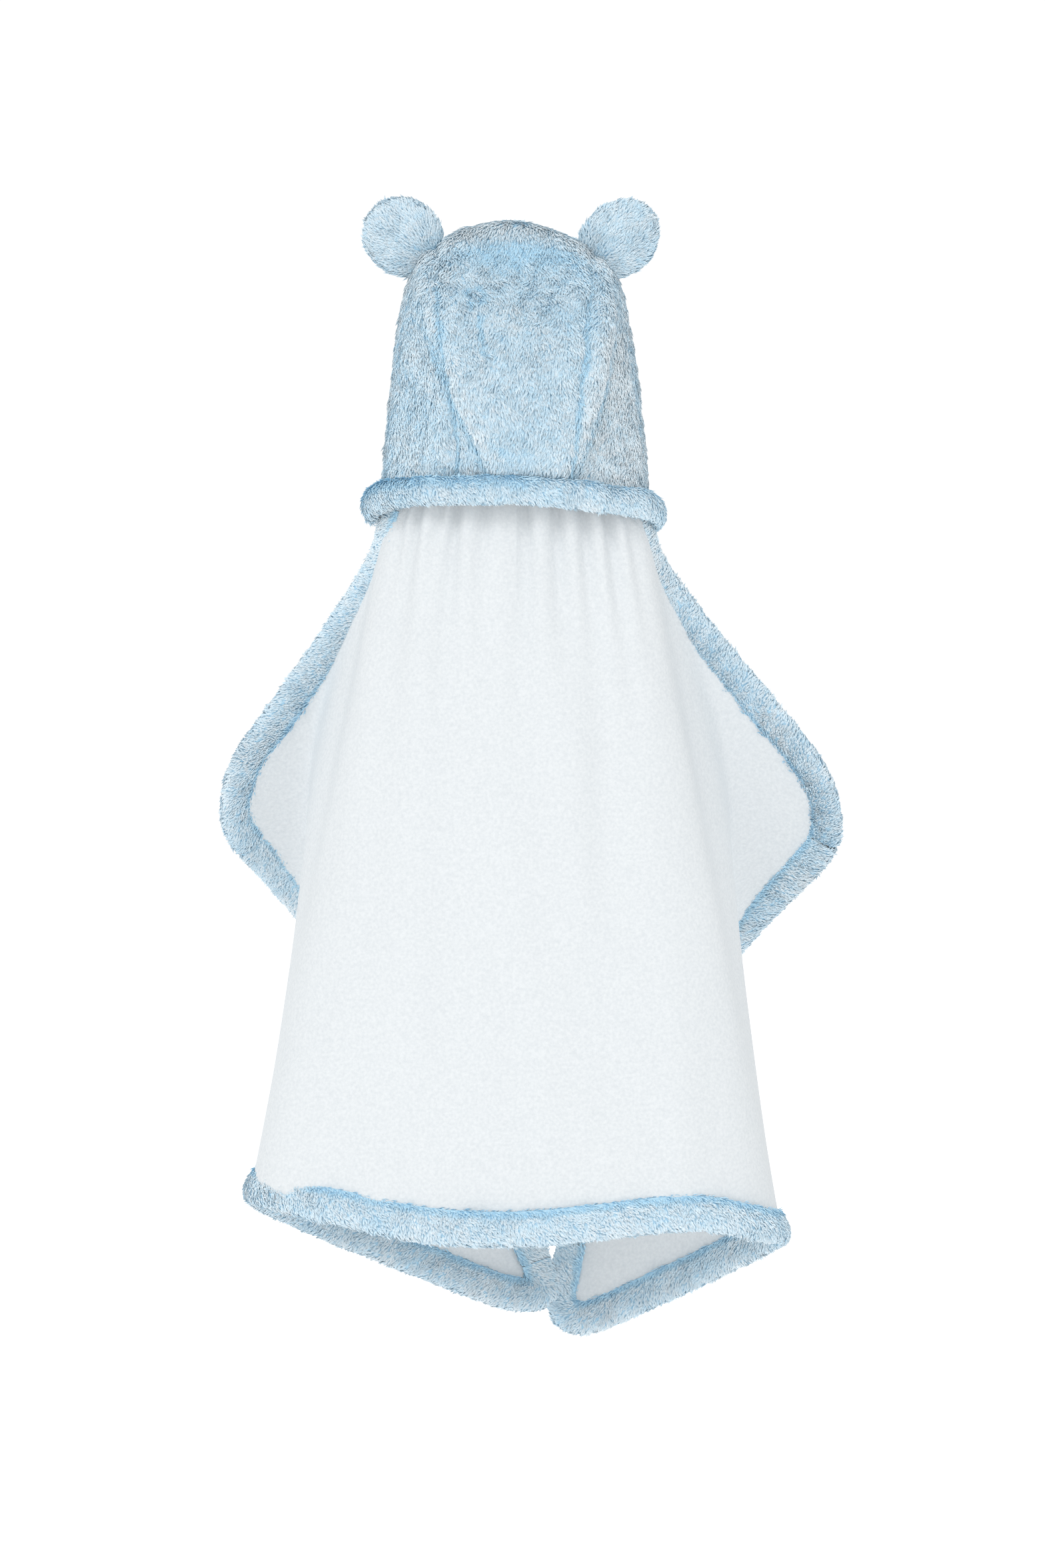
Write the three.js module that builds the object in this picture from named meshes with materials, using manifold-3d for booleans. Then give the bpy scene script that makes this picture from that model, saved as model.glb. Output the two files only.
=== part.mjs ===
// Hooded baby towel with round ears, hanging by its two ears.
// Millimetres, +Z up. The origin is on the hanging line, midway between the ears.
// -Y is the outside of the hood's back, +Y is the side where the hood and the towel open.
import * as THREE from "three";
import { mergeVertices } from "three/addons/utils/BufferGeometryUtils.js";
import Module from "manifold-3d";

const wasm = await Module();
wasm.setup();

// ---- driving dimensions ----
const TOWEL_THICK = 3; // terry cloth
const PLUSH_THICK = 3.4; // plush with its pile pressed down
const LINING_THICK = 2.4;
const LINING_INSET = 5; // from the middle of the plush to the middle of the lining
const SEAM_GAP = 1; // between two sheets that meet at a seam
const BIND_LEG = 23; // how far the binding reaches in from the edge, on each face
const BIND_MID = 5; // from the middle of the cloth to the middle of the binding's leg
const BIND_THICK = 3.6;
const STRIP_GAP = 0.6; // between two binding strips that meet end to end
const CLOTH_INSET = 3; // the cloth stops this far inside the binding's fold
const HINGE_CLOTH = 4; // how far the cloth stops from a fold line, so that the flap can turn
const HINGE_BIND = 8; // the same for the thicker binding
const CORNER_R = 62; // rounded corners of the towel
const FLAP_W = 300; // width of a flap along its top and bottom edges, from its fold line to its outer edge
const FLAP_L = 560; // length of a flap, from its top edge to its bottom edge
const BRIM_LEG = 17;
const NECK_TOP = -222; // top edge of the towel, under the neck band
const TILT = 0.04; // the hood hangs a little lower on its right

const LIGHT_BLUE = 0xb4d4ea;
const WHITE = 0xf3f5f6;

const V = (x, y, z) => new THREE.Vector3(x, y, z);

// ---- materials ----
const plush = () => new THREE.MeshStandardMaterial({ color: LIGHT_BLUE, roughness: 0.85, metalness: 0 });
const terry = () => new THREE.MeshStandardMaterial({ color: WHITE, roughness: 0.95, metalness: 0 });
const wadding = () => new THREE.MeshStandardMaterial({ color: 0xffffff, roughness: 1, metalness: 0 });

// ---- general shapes ----
const root = new THREE.Group();

function addPart(name, geometry, material, parent = root) {
  const mesh = new THREE.Mesh(geometry, material);
  mesh.name = name;
  parent.add(mesh);
  return mesh;
}

// A smooth curve through points, one for each whole number of t, that also runs on a little past its ends.
function through(points, t) {
  const last = points.length - 1;
  const i = Math.min(Math.max(Math.floor(t), 0), last - 1);
  const f = t - i;
  const at = (k) => {
    if (k < 0) return points[0].clone().multiplyScalar(2).sub(points[1]);
    if (k > last) return points[last].clone().multiplyScalar(2).sub(points[last - 1]);
    return points[k];
  };
  const [a, b, c, d] = [at(i - 1), at(i), at(i + 1), at(i + 2)];
  const axis = (k) =>
    0.5 *
    (2 * b[k] + (c[k] - a[k]) * f + (2 * a[k] - 5 * b[k] + 4 * c[k] - d[k]) * f * f +
      (3 * b[k] - a[k] - 3 * c[k] + d[k]) * f * f * f);
  return V(axis("x"), axis("y"), axis("z"));
}

// The unit normal of a surface at(u, v).
function normalAt(at, u, v, step = 1e-3) {
  const du = at(u + step, v).sub(at(u - step, v));
  const dv = at(u, v + step).sub(at(u, v - step));
  return du.cross(dv).normalize();
}

// The closed solid between two grids of points, rows by columns, joined round their rims.
function between(front, back) {
  const rows = front.length;
  const columns = front[0].length;
  const position = [];
  const index = [];
  for (const grid of [front, back]) for (const row of grid) for (const p of row) position.push(p.x, p.y, p.z);
  const id = (layer, i, j) => layer * rows * columns + i * columns + j;
  const quad = (a, b, c, d) => index.push(a, b, c, a, c, d);
  for (let i = 0; i + 1 < rows; i++)
    for (let j = 0; j + 1 < columns; j++) {
      quad(id(0, i, j), id(0, i, j + 1), id(0, i + 1, j + 1), id(0, i + 1, j));
      quad(id(1, i, j), id(1, i + 1, j), id(1, i + 1, j + 1), id(1, i, j + 1));
    }
  for (let i = 0; i + 1 < rows; i++) {
    quad(id(0, i, 0), id(0, i + 1, 0), id(1, i + 1, 0), id(1, i, 0));
    quad(id(0, i + 1, columns - 1), id(0, i, columns - 1), id(1, i, columns - 1), id(1, i + 1, columns - 1));
  }
  for (let j = 0; j + 1 < columns; j++) {
    quad(id(0, 0, j + 1), id(0, 0, j), id(1, 0, j), id(1, 0, j + 1));
    quad(id(0, rows - 1, j), id(0, rows - 1, j + 1), id(1, rows - 1, j + 1), id(1, rows - 1, j));
  }
  const geometry = new THREE.BufferGeometry();
  geometry.setAttribute("position", new THREE.Float32BufferAttribute(position, 3));
  geometry.setIndex(index);
  return facingOut(geometry);
}

// Turns the faces round if they point inwards.
function facingOut(geometry) {
  const p = geometry.attributes.position;
  const index = Array.from(geometry.index.array);
  const corner = (k) => new THREE.Vector3().fromBufferAttribute(p, index[k]);
  let volume = 0;
  for (let k = 0; k < index.length; k += 3) volume += corner(k).dot(corner(k + 1).cross(corner(k + 2)));
  if (volume < 0) for (let k = 0; k < index.length; k += 3) [index[k], index[k + 1]] = [index[k + 1], index[k]];
  geometry.setIndex(index);
  return geometry;
}

// A sheet of even thickness over the surface at(u, v), with rows at the given u and columns at the given v.
function sheet(at, us, vs, thickness, offset = 0) {
  const layer = (side) =>
    us.map((u) => vs.map((v) => at(u, v).addScaledVector(normalAt(at, u, v), offset + (side * thickness) / 2)));
  return between(layer(1), layer(-1));
}

const steps = (from, to, n) => Array.from({ length: n + 1 }, (_, i) => from + ((to - from) * i) / n);

// The section of a binding strip, from one leg's end round the fold to the other's: [inwards, along the normal].
function foldSection(leg, top, bottom) {
  const middle = (top + bottom) / 2;
  const radius = (top - bottom) / 2;
  const arc = steps(0, Math.PI, 4).map((a) => [-radius * Math.sin(a), middle + radius * Math.cos(a)]);
  return [[leg, top], [leg / 2, top], ...arc, [leg / 2, bottom], [leg, bottom]];
}

// A binding strip: place(t, d, h) is the point d in from the edge and h along the normal, at place t on the edge.
function binding(place, ts, section, thickness) {
  const across = (k) => {
    const i = Math.min(Math.max(Math.floor(k), 0), section.length - 2);
    const f = k - i;
    return [0, 1].map((c) => section[i][c] + (section[i + 1][c] - section[i][c]) * f);
  };
  const at = (t, k) => place(t, ...across(k));
  const layer = (side) =>
    ts.map((t) => section.map((_, k) => at(t, k).addScaledVector(normalAt(at, t, k, 0.02), (side * thickness) / 2)));
  return between(layer(1), layer(-1));
}

// ---- the hood ----
// Arches from the face opening (row 0) over the crown and down the back to the neck seam (row 6).
// Each lists half an arch, from the end of the neck seam up to the middle; its fifth point is on the princess seam.
const HALF_ARCHES = [
  [[101, 22, -224], [96, 54, -165], [90, 68, -97], [81, 68, -46], [57, 63, -14], [0, 60, 2]],
  [[102, 17, -225], [96, 32, -170], [90, 36, -105], [81, 34, -54], [59, 30, -22], [0, 28, -5]],
  [[102, 11, -226], [97, 12, -172], [91, 8, -110], [80, 2, -56], [60, -8, -28], [0, -10, -8]],
  [[103, 7, -226], [98, 0, -180], [91, -8, -126], [79, -22, -78], [60, -34, -58], [0, -24, -44]],
  [[103, 4, -225], [99, -6, -192], [92, -15, -155], [74, -32, -122], [53, -50, -110], [0, -55, -103]],
  [[103, 1, -223], [100, -9, -204], [92, -20, -183], [71, -38, -166], [47, -54, -160], [0, -61, -158]],
  [[103, -2, -219], [101, -11, -212], [93, -23, -208], [72, -37, -205], [44, -46, -203], [0, -49, -202]],
];
const ARCH_POINTS = HALF_ARCHES.map((half) => {
  const right = half.map(([x, y, z]) => V(x, y, z - TILT * x));
  const left = half.map(([x, y, z]) => V(-x, y, z + TILT * x));
  return [...left, ...right.reverse().slice(1)];
});
const FRONT_ROW = 0;
const NECK_ROW = 6;
const SEAM_L = 4; // princess seams, as places along an arch
const SEAM_R = 6;
const ARCH_END = 10;
const hood = (row, s) => through(ARCH_POINTS.map((arch) => through(arch, s)), row);

const panelRows = steps(FRONT_ROW + 0.12, NECK_ROW, 14);
const seamShare = SEAM_GAP / 2 / 20; // half the seam gap, as a share of a step along an arch
const panels = [
  ["left", steps(0.35, SEAM_L - seamShare, 8)],
  ["centre", steps(SEAM_L + seamShare, SEAM_R - seamShare, 8)],
  ["right", steps(SEAM_R + seamShare, ARCH_END - 0.35, 8)],
];
for (const [side, places] of panels) {
  addPart(`hood_${side}_panel`, sheet(hood, panelRows, places, PLUSH_THICK), plush());
}
// The lining lies inside the plush and stops short of the ends of the neck seam, where the hood is narrow.
const INSIDE = -1; // the side of the surface that the head is on, as the sign of its normal
const liningRows = steps(FRONT_ROW + 0.12, NECK_ROW - 0.1, 12);
const linings = [
  ["left", steps(1, SEAM_L - seamShare, 6)],
  ["centre", steps(SEAM_L + seamShare, SEAM_R - seamShare, 8)],
  ["right", steps(SEAM_R + seamShare, ARCH_END - 1, 6)],
];
for (const [side, places] of linings) {
  addPart(`lining_${side}_panel`, sheet(hood, liningRows, places, LINING_THICK, INSIDE * LINING_INSET), terry());
}

// The binding of the face opening folds over the plush and the lining together.
function brimPlace(s, d, h) {
  const step = 0.02;
  const speed = hood(step, s).distanceTo(hood(0, s)) / step;
  const row = d / speed;
  return hood(row, s).addScaledVector(normalAt(hood, Math.max(row, 0), s), INSIDE * h);
}
const BRIM_OVER = 3.6; // from the cloth's face to the middle of the binding's leg
const brimSection = foldSection(BRIM_LEG, LINING_INSET + LINING_THICK / 2 + BRIM_OVER, -PLUSH_THICK / 2 - BRIM_OVER);
addPart("hood_brim_binding", binding(brimPlace, steps(0.5, ARCH_END - 0.5, 28), brimSection, 3), plush());

// ---- the neck band ----
// A soft roll of plush along the outside of the neck seam, with rounded ends.
const BAND_HALF_HEIGHT = 13;
const BAND_HALF_THICK = 5;
const BAND_OUT = 11.5; // from the neck seam to the middle of the roll
const BAND_DROP = 15; // the roll's middle is this far under the neck seam
function bandPlace(t, angle) {
  const s = 0.1 + t * (ARCH_END - 0.2);
  const at = hood(NECK_ROW, s);
  const along = hood(NECK_ROW, s + 0.01).sub(hood(NECK_ROW, s - 0.01)).setZ(0).normalize();
  const out = along.clone().cross(V(0, 0, 1));
  const end = Math.sqrt(Math.max(0.06, 1 - Math.pow(Math.abs(2 * t - 1), 14))); // rounds the roll's ends
  return at
    .addScaledVector(out, BAND_OUT + Math.cos(angle) * BAND_HALF_THICK * end)
    .setZ(at.z - BAND_DROP + Math.sin(angle) * BAND_HALF_HEIGHT * end);
}
function roll(place, ts, sides) {
  const position = [];
  const index = [];
  const rings = ts.map((t) => steps(0, 2 * Math.PI, sides).slice(0, sides).map((a) => place(t, a)));
  for (const ring of rings) for (const p of ring) position.push(p.x, p.y, p.z);
  for (let i = 0; i + 1 < rings.length; i++)
    for (let j = 0; j < sides; j++) {
      const [a, b] = [i * sides + j, i * sides + ((j + 1) % sides)];
      index.push(a, b, b + sides, a, b + sides, a + sides);
    }
  const last = (rings.length - 1) * sides;
  for (let j = 1; j + 1 < sides; j++) index.push(0, j + 1, j, last, last + j, last + j + 1);
  const geometry = new THREE.BufferGeometry();
  geometry.setAttribute("position", new THREE.Float32BufferAttribute(position, 3));
  geometry.setIndex(index);
  return facingOut(geometry);
}
addPart("neck_band", roll(bandPlace, steps(0, 1, 28), 12), plush());

// ---- the towel's back panel ----
// Its sides are the two straight fold lines, which the flaps turn about.
const FOLD_L = { top: V(-103, 2, -243), bottom: V(-210, 2, -772) };
const FOLD_R = { top: V(106, 2, -247), bottom: V(213, 2, -806) };
// Heights of the hem's lower edge from the left fold to the right one.
const HEM = [-772, -784, -797, -800, -794, -789, -806].map((z, i) => V(i, 0, z));
const BACK_DEPTH = { top: 46, bottom: 88 }; // how far the panel bows out between its folds
const BACK_ROUND = 2.5; // 2 is an ellipse, more is flatter

const onLine = (line, v) => line.top.clone().lerp(line.bottom, v);
// s runs from -1 at the left fold to 1 at the right one, v from 0 at the neck to 1 at the hem.
function back(s, v) {
  const [left, right] = [onLine(FOLD_L, v), onLine(FOLD_R, v)];
  const angle = (s * Math.PI) / 2;
  const power = 2 / BACK_ROUND;
  const across = Math.sign(angle) * Math.pow(Math.abs(Math.sin(angle)), power);
  const out = Math.pow(Math.max(Math.cos(angle), 0), power);
  const depth = BACK_DEPTH.top + (BACK_DEPTH.bottom - BACK_DEPTH.top) * v;
  const point = left.clone().lerp(right, (across + 1) / 2);
  const top = NECK_TOP - TILT * point.x - 20 * Math.pow(Math.abs(across), 6);
  const hem = through(HEM, ((across + 1) / 2) * (HEM.length - 1)).z;
  return V(point.x, point.y - depth * out, top + (hem - top) * v);
}
const backLength = 575;
const backInset = CLOTH_INSET / backLength;
const sideInset = 0.055; // keeps the cloth clear of each fold line
addPart(
  "towel_back_panel",
  sheet(back, steps(-1 + sideInset, 1 - sideInset, 22), steps(0, 1 - backInset, 12), TOWEL_THICK),
  terry(),
);
function hemPlace(s, d, h) {
  const step = 0.01;
  const length = back(s, 1).distanceTo(back(s, 1 - step)) / step;
  const v = 1 - d / length;
  return back(s, v).addScaledVector(normalAt(back, s, Math.min(v, 1)), h);
}
const bindSection = foldSection(BIND_LEG, BIND_MID, -BIND_MID);
const hemInset = 0.13;
addPart("hem_binding", binding(hemPlace, steps(-1 + hemInset, 1 - hemInset, 24), bindSection, BIND_THICK), plush());

// ---- the flaps ----
// Rows from the top edge to the bottom edge; each is a Bezier curve from the fold line to the outer edge.
// The corners listed are the sharp ones, before the rounding.
const LEFT_FLAP = [
  [V(-103, 2, -243), V(-118, 18, -286), V(-186, 42, -372), V(-253, 46, -463)],
  [V(-138.7, 2, -419.3), V(-186, 56, -418), V(-150, 78, -520), V(-168, 158, -566)],
  [V(-174.3, 2, -595.7), V(-208, 62, -598), V(-110, 84, -690), V(-44, 160, -708)],
  [V(-210, 2, -772), V(-214, 62, -790), V(-95, 108, -836), V(62, 104, -901)],
];
const RIGHT_FLAP = [
  [V(106, 2, -247), V(122, 19, -288), V(192, 42, -362), V(285, 46, -473)],
  [V(141.7, 2, -433.3), V(192, 56, -434), V(162, 80, -540), V(180, 168, -590)],
  [V(177.3, 2, -619.7), V(214, 70, -620), V(138, 104, -708), V(74, 186, -726)],
  [V(213, 2, -806), V(218, 72, -818), V(132, 134, -864), V(12, 136, -921)],
];
function flapSurface(rows) {
  const bezier = (points, a) => {
    const b = 1 - a;
    return points[0].clone().multiplyScalar(b * b * b)
      .addScaledVector(points[1], 3 * a * b * b)
      .addScaledVector(points[2], 3 * a * a * b)
      .addScaledVector(points[3], a * a * a);
  };
  // a runs from 0 at the fold line to 1 at the outer edge, b from 0 at the top edge to 1 at the bottom edge.
  return (a, b) => through(rows.map((row) => bezier(row, a)), b * (rows.length - 1));
}
// The cloth of a flap: rows that are shorter where they meet a rounded corner.
function flapCloth(at) {
  const r = CORNER_R - CLOTH_INSET;
  const across = [...steps(0, 0.8, 7), 0.88, 0.94, 1];
  const down = [0, 0.02, 0.06, ...steps(0.12, 0.88, 15), 0.94, 0.98, 1];
  const cloth = (w, v) => {
    const y = CLOTH_INSET + v * (FLAP_L - 2 * CLOTH_INSET);
    const near = Math.max(Math.min(y, FLAP_L - y) - CLOTH_INSET, 0);
    const cut = near < r ? r - Math.sqrt(r * r - (r - near) * (r - near)) : 0;
    const reach = FLAP_W - CLOTH_INSET - cut;
    return at((HINGE_CLOTH + w * (reach - HINGE_CLOTH)) / FLAP_W, y / FLAP_L);
  };
  return sheet(cloth, across, down, TOWEL_THICK);
}
// The edge of a flap as a path in its flat cut: [x from the fold line, y from the top edge, inward x, inward y].
function flapEdge(distance) {
  const r = CORNER_R;
  const quarter = (Math.PI / 2) * r;
  const straight = [FLAP_W - r, FLAP_L - 2 * r];
  let t = distance;
  if (t < straight[0]) return [t, 0, 0, 1];
  t -= straight[0];
  if (t < quarter) return [FLAP_W - r + r * Math.sin(t / r), r - r * Math.cos(t / r), -Math.sin(t / r), Math.cos(t / r)];
  t -= quarter;
  if (t < straight[1]) return [FLAP_W, r + t, -1, 0];
  t -= straight[1];
  if (t < quarter) {
    const [s, c] = [Math.sin(t / r), Math.cos(t / r)];
    return [FLAP_W - r + r * c, FLAP_L - r + r * s, -c, -s];
  }
  return [FLAP_W - r - (t - quarter), FLAP_L, 0, -1];
}
const EDGE_LENGTH = 2 * (FLAP_W - CORNER_R) + FLAP_L - 2 * CORNER_R + Math.PI * CORNER_R;
function flapPlace(at) {
  return (distance, d, h) => {
    const [x, y, ix, iy] = flapEdge(distance);
    const [a, b] = [x / FLAP_W, y / FLAP_L];
    const step = 0.5; // millimetres in the flat cut
    const near = at(a + (ix * step) / FLAP_W, b + (iy * step) / FLAP_L);
    const real = near.distanceTo(at(a, b)) / step; // real millimetres for each flat one
    const flat = d / real;
    const point = at(a + (ix * flat) / FLAP_W, b + (iy * flat) / FLAP_L);
    const inA = Math.min(Math.max(a + (ix * flat) / FLAP_W, 0), 1);
    const inB = Math.min(Math.max(b + (iy * flat) / FLAP_L, 0), 1);
    return point.addScaledVector(normalAt(at, inA, inB), h);
  };
}
// Where one strip of binding ends and the next starts, along the edge from the neck to the hem.
const CORNER_START = FLAP_W - CORNER_R;
const topJoin = CORNER_START + CORNER_R * 1.1;
const bottomJoin = EDGE_LENGTH - CORNER_START;
const strips = [
  ["top", HINGE_BIND + 18, topJoin, 15],
  ["side", topJoin, bottomJoin, 26],
  ["bottom", bottomJoin, EDGE_LENGTH - HINGE_BIND, 12],
];
for (const [side, rows] of [["left", LEFT_FLAP], ["right", RIGHT_FLAP]]) {
  const at = flapSurface(rows);
  addPart(`towel_${side}_flap`, flapCloth(at), terry());
  for (const [which, from, to, n] of strips) {
    const ts = steps(from + STRIP_GAP / 2, to - STRIP_GAP / 2, n);
    addPart(`binding_${side}_${which}`, binding(flapPlace(at), ts, bindSection, BIND_THICK), plush());
  }
}

// ---- the ears ----
// Each ear is two round plush shells, sewn together round their rim over soft wadding, and narrows at its root.
const EAR_R = 30;
const EAR_HALF_THICK = 11;
const EAR_SHELL = 2.6;
const EAR_FLAT = 10; // radius of the flat middle, which a clothes peg grips
const EAR_ROOT = 7; // the pieces stop this far out from the root line
const EAR_WEDGE = 0.5; // radians that each side of the root slopes back, so that the ear can fold over
const EAR_CENTRE = 25; // from the root line to the middle of the ear

function solidOf(geometry) {
  const bare = geometry.clone();
  bare.deleteAttribute("normal");
  bare.deleteAttribute("uv");
  const merged = mergeVertices(bare, 1e-3);
  const all = merged.index.array;
  const whole = [];
  for (let k = 0; k < all.length; k += 3) {
    const [a, b, c] = all.slice(k, k + 3);
    if (a !== b && b !== c && c !== a) whole.push(a, b, c);
  }
  merged.setIndex(whole);
  const out = facingOut(merged);
  return new wasm.Manifold(
    new wasm.Mesh({
      numProp: 3,
      vertProperties: out.attributes.position.array,
      triVerts: new Uint32Array(out.index.array),
    }),
  );
}
function geometryOf(solid) {
  const mesh = solid.getMesh();
  const geometry = new THREE.BufferGeometry();
  geometry.setAttribute("position", new THREE.BufferAttribute(mesh.vertProperties, 3));
  geometry.setIndex(new THREE.BufferAttribute(mesh.triVerts, 1));
  return geometry;
}
// A domed profile from its flat middle out to its rim, as [radius, height] points.
function dome(radius, height, flat) {
  const curve = steps(0, Math.PI / 2, 4).map((a) => [flat + (radius - flat) * Math.sin(a), height * Math.cos(a)]);
  return [[0, height], ...curve];
}
function turned(profile) {
  const points = profile.map(([r, h]) => new THREE.Vector2(r, h));
  return new THREE.LatheGeometry(points, 22);
}
function earShell() {
  const outer = dome(EAR_R, EAR_HALF_THICK, EAR_FLAT).map(([r, h]) => [r, h + 0.2]);
  const inner = dome(EAR_R - EAR_SHELL, EAR_HALF_THICK - EAR_SHELL, EAR_FLAT - 1).map(([r, h]) => [r, h + 0.2]);
  return turned([...inner, ...outer.reverse()]);
}
function earWadding() {
  const [r, h] = [EAR_R - EAR_SHELL - 0.5, EAR_HALF_THICK - EAR_SHELL - 0.5];
  const upper = dome(r, h, EAR_FLAT - 1.5);
  const lower = upper.map(([x, y]) => [x, -y]).reverse();
  return turned([...upper, ...lower.slice(1)]);
}
// Stands a turned solid up as part of an ear: its axis along Y, its middle EAR_CENTRE out, cut to a blunt wedge at the root.
function earPiece(geometry, facing) {
  const stood = geometry.clone().rotateX(facing < 0 ? Math.PI : 0).translate(0, 0, EAR_CENTRE);
  const keep = new THREE.BoxGeometry(4 * EAR_R, 4 * EAR_R, 4 * EAR_R).translate(0, 0, 2 * EAR_R + EAR_ROOT);
  const wedge = solidOf(keep.clone().rotateX(EAR_WEDGE)).intersect(solidOf(keep.clone().rotateX(-EAR_WEDGE)));
  return geometryOf(solidOf(stood).intersect(wedge));
}
const EARS = [
  { side: "left", root: V(-68, 0, -28), turn: -54 },
  { side: "right", root: V(65, 0, -32), turn: 46 },
];
for (const { side, root: place, turn } of EARS) {
  const ear = new THREE.Group();
  ear.position.copy(place);
  ear.rotation.y = THREE.MathUtils.degToRad(turn);
  root.add(ear);
  addPart(`ear_${side}_front`, earPiece(earShell(), -1), plush(), ear);
  addPart(`ear_${side}_back`, earPiece(earShell(), 1), plush(), ear);
  addPart(`ear_${side}_wadding`, earPiece(earWadding(), 1), wadding(), ear);
}

export default root;
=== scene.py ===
"""The looks of the hooded baby towel, hanging by its ears.

White terry with a light blue plush hood, ears, neck band and edge binding. Lengths are in mm until a
mesh is made.
"""

import math

import bpy
import numpy as np
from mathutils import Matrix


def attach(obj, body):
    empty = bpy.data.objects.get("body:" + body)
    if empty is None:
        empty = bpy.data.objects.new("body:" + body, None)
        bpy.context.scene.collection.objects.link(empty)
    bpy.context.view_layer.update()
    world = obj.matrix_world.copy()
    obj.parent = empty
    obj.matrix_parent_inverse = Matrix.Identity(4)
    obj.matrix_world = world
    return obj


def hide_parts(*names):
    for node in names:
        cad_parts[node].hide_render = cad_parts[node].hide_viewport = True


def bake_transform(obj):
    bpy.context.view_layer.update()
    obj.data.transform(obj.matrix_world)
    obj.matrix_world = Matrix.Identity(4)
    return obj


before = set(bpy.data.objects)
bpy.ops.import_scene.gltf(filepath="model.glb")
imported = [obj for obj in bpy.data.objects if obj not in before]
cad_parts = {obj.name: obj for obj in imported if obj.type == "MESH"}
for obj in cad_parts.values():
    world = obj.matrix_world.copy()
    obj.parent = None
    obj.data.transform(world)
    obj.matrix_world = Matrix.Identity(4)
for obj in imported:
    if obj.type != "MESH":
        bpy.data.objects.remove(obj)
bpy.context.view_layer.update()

MM = 0.001
FLAP_W, FLAP_L = 300.0, 560.0
CORNER_R = 62.0
NECK_TOP = -222.0
TILT = 0.04
PILE = 7.5  # length of the plush pile on the hood
BINDING_PILE = 6.0
EAR_PILE = 7.0
TUFT_WIDTH = 1.5
EDGE_STEP = 2.2  # between two points along the edge binding
BINDING_LEG, BINDING_HALF_THICK = 23, 6.6
BRIM_LEG, BRIM_HALF_THICK = 17, 6.5
GATHER_DEPTH = 1.35  # how much deeper the gathers are than GATHERS says


# ---------------------------------------------------------------- maths
def unit(v):
    return v / np.maximum(np.linalg.norm(v, axis=-1, keepdims=True), 1e-9)


def weights(n, t):
    """For each t, the weights of n + 2 points (the ends are extended) on a Catmull-Rom curve."""
    t = np.atleast_1d(np.asarray(t, float))
    i = np.clip(np.floor(t).astype(int), 0, n - 2)
    f = t - i
    w = np.zeros((len(t), n + 2))
    rows = np.arange(len(t))
    w[rows, i] += 0.5 * (-f + 2 * f**2 - f**3)
    w[rows, i + 1] += 0.5 * (2 - 5 * f**2 + 3 * f**3)
    w[rows, i + 2] += 0.5 * (f + 4 * f**2 - 3 * f**3)
    w[rows, i + 3] += 0.5 * (-(f**2) + f**3)
    return w


def extended(p):
    return np.concatenate([2 * p[:1] - p[1:2], p, 2 * p[-1:] - p[-2:-1]])


def through(points, t):
    points = np.asarray(points, float)
    return np.tensordot(weights(len(points), t), extended(points), 1)


def hashed(ix, iy, iz, seed):
    h = (ix * 73856093) ^ (iy * 19349663) ^ (iz * 83492791) ^ (seed * 40503 + 977)
    h &= 0xFFFFFFFF
    h = ((h ^ (h >> 15)) * 2246822519) & 0xFFFFFFFF
    h = ((h ^ (h >> 13)) * 3266489917) & 0xFFFFFFFF
    return ((h ^ (h >> 16)) & 0xFFFFFF) / float(0xFFFFFF) * 2 - 1


def noise(p, size, seed=0):
    """Smooth value noise from -1 to 1, with lumps of about this size; size may be one number for each axis."""
    q = p / np.asarray(size, float)
    i = np.floor(q).astype(np.int64)
    f = q - i
    f = f * f * (3 - 2 * f)
    total = 0
    for dx in (0, 1):
        for dy in (0, 1):
            for dz in (0, 1):
                w = (
                    (f[..., 0] if dx else 1 - f[..., 0])
                    * (f[..., 1] if dy else 1 - f[..., 1])
                    * (f[..., 2] if dz else 1 - f[..., 2])
                )
                total = total + w * hashed(i[..., 0] + dx, i[..., 1] + dy, i[..., 2] + dz, seed)
    return total


def normals(p, flip=1):
    return flip * unit(np.cross(np.gradient(p, axis=0), np.gradient(p, axis=1)))


def smooth_along(a, sigma, axis):
    """Gaussian smoothing of grid points along one axis, ends held."""
    n = max(int(3 * sigma), 1)
    k = np.exp(-0.5 * (np.arange(-n, n + 1) / sigma) ** 2)
    k /= k.sum()
    a = np.moveaxis(a, axis, 0)
    first, last = a[:1], a[-1:]
    before = 2 * first - a[1 : n + 1][::-1]
    after = 2 * last - a[-n - 1 : -1][::-1]
    padded = np.concatenate([before, a, after])
    out = sum(k[j] * padded[j : j + len(a)] for j in range(2 * n + 1))
    return np.moveaxis(out, 0, axis)


def bump(x, centre, width):
    return np.exp(-0.5 * ((x - centre) / width) ** 2)


def ease(x, a, b):
    t = np.clip((x - a) / (b - a), 0, 1)
    return t * t * (3 - 2 * t)


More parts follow.
